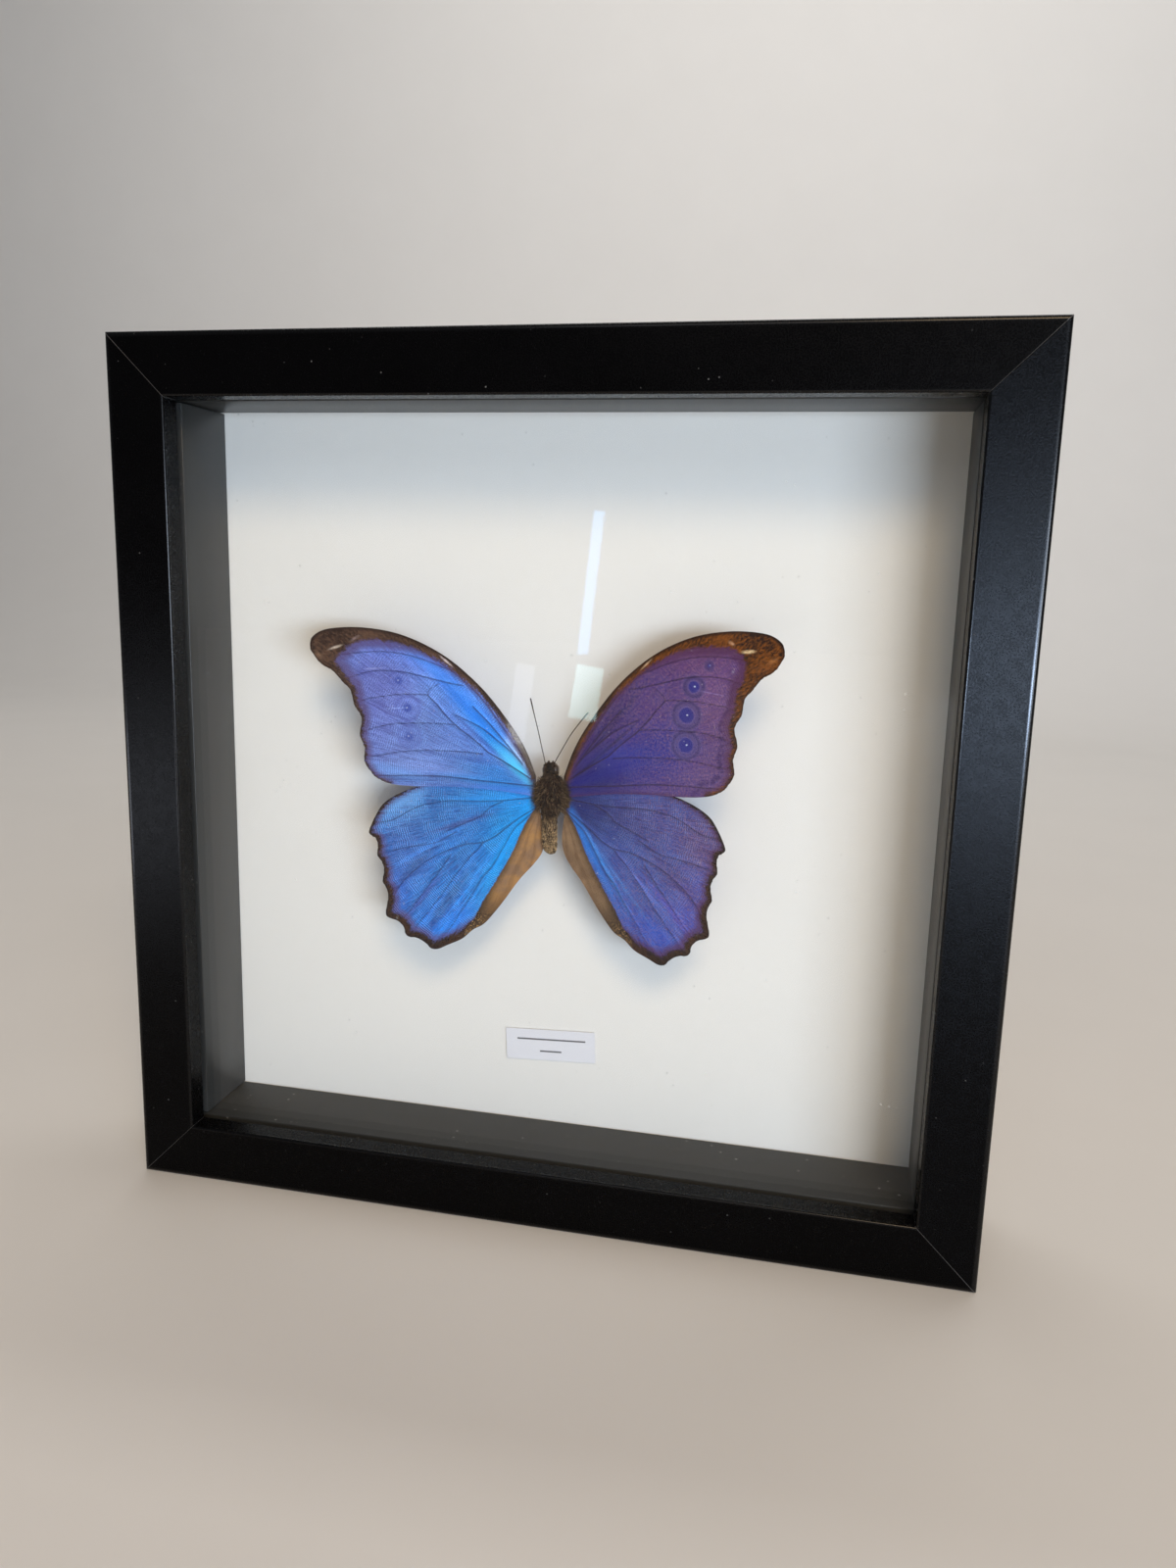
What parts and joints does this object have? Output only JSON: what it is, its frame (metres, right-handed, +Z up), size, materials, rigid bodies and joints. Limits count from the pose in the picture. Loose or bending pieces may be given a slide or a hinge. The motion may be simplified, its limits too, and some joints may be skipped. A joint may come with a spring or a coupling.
{
  "type": "framed butterfly specimen",
  "caption": "Deep square black frame, glazed, with a spread blue butterfly raised off a pale mount card above a small bare label.",
  "frame": {"origin": "on the floor under the middle of the frame, which stands upright on its bottom rail", "axes": "+Z up, front glass faces -Y, +X to the right as seen from the front"},
  "size_m": [0.25, 0.045, 0.25],
  "materials": {
    "foil": "fibreboard rail wrapped in satin black foil with a faint fine grain",
    "spacer_board": "matt black wrapped board",
    "pane_glass": "clear float glass, polished",
    "mount_card": "warm off-white uncoated card",
    "hardboard": "brown hardboard, smooth side out",
    "steel": "zinc-plated steel, dull",
    "label_paper": "plain white paper",
    "mount_foam": "fine closed-cell foam",
    "blue_scales": "bright iridescent blue wing scales, silky, brown margin and ochre inner fold",
    "violet_scales": "deep violet-blue wing scales, silky, brown margin and ochre inner fold",
    "brown_fur": "short dark brown fur on the thorax, golden-brown scales on the abdomen",
    "dark_chitin": "dark brown, faintly glossy"
  },
  "bodies": {
    "root": {"rail_bottom": "foil", "rail_left": "foil", "rail_top": "foil", "rail_right": "foil", "spacer_bottom": "spacer_board", "spacer_left": "spacer_board", "spacer_top": "spacer_board", "spacer_right": "spacer_board", "glass_pane": "pane_glass", "mount_card": "mount_card", "back_panel": "hardboard", "tab_bottom_1": "steel", "tab_bottom_2": "steel", "tab_left_1": "steel", "tab_left_2": "steel", "tab_top_1": "steel", "tab_top_2": "steel", "tab_right_1": "steel", "tab_right_2": "steel", "hanger": "steel", "hanger_rivet_left": "steel", "hanger_rivet_right": "steel", "label": "label_paper", "foam_block": "mount_foam", "forewing_left": "blue_scales", "hindwing_left": "blue_scales", "forewing_right": "violet_scales", "hindwing_right": "violet_scales", "body": "brown_fur", "antenna_left": "dark_chitin", "antenna_right": "dark_chitin"}
  },
  "joints": []
}
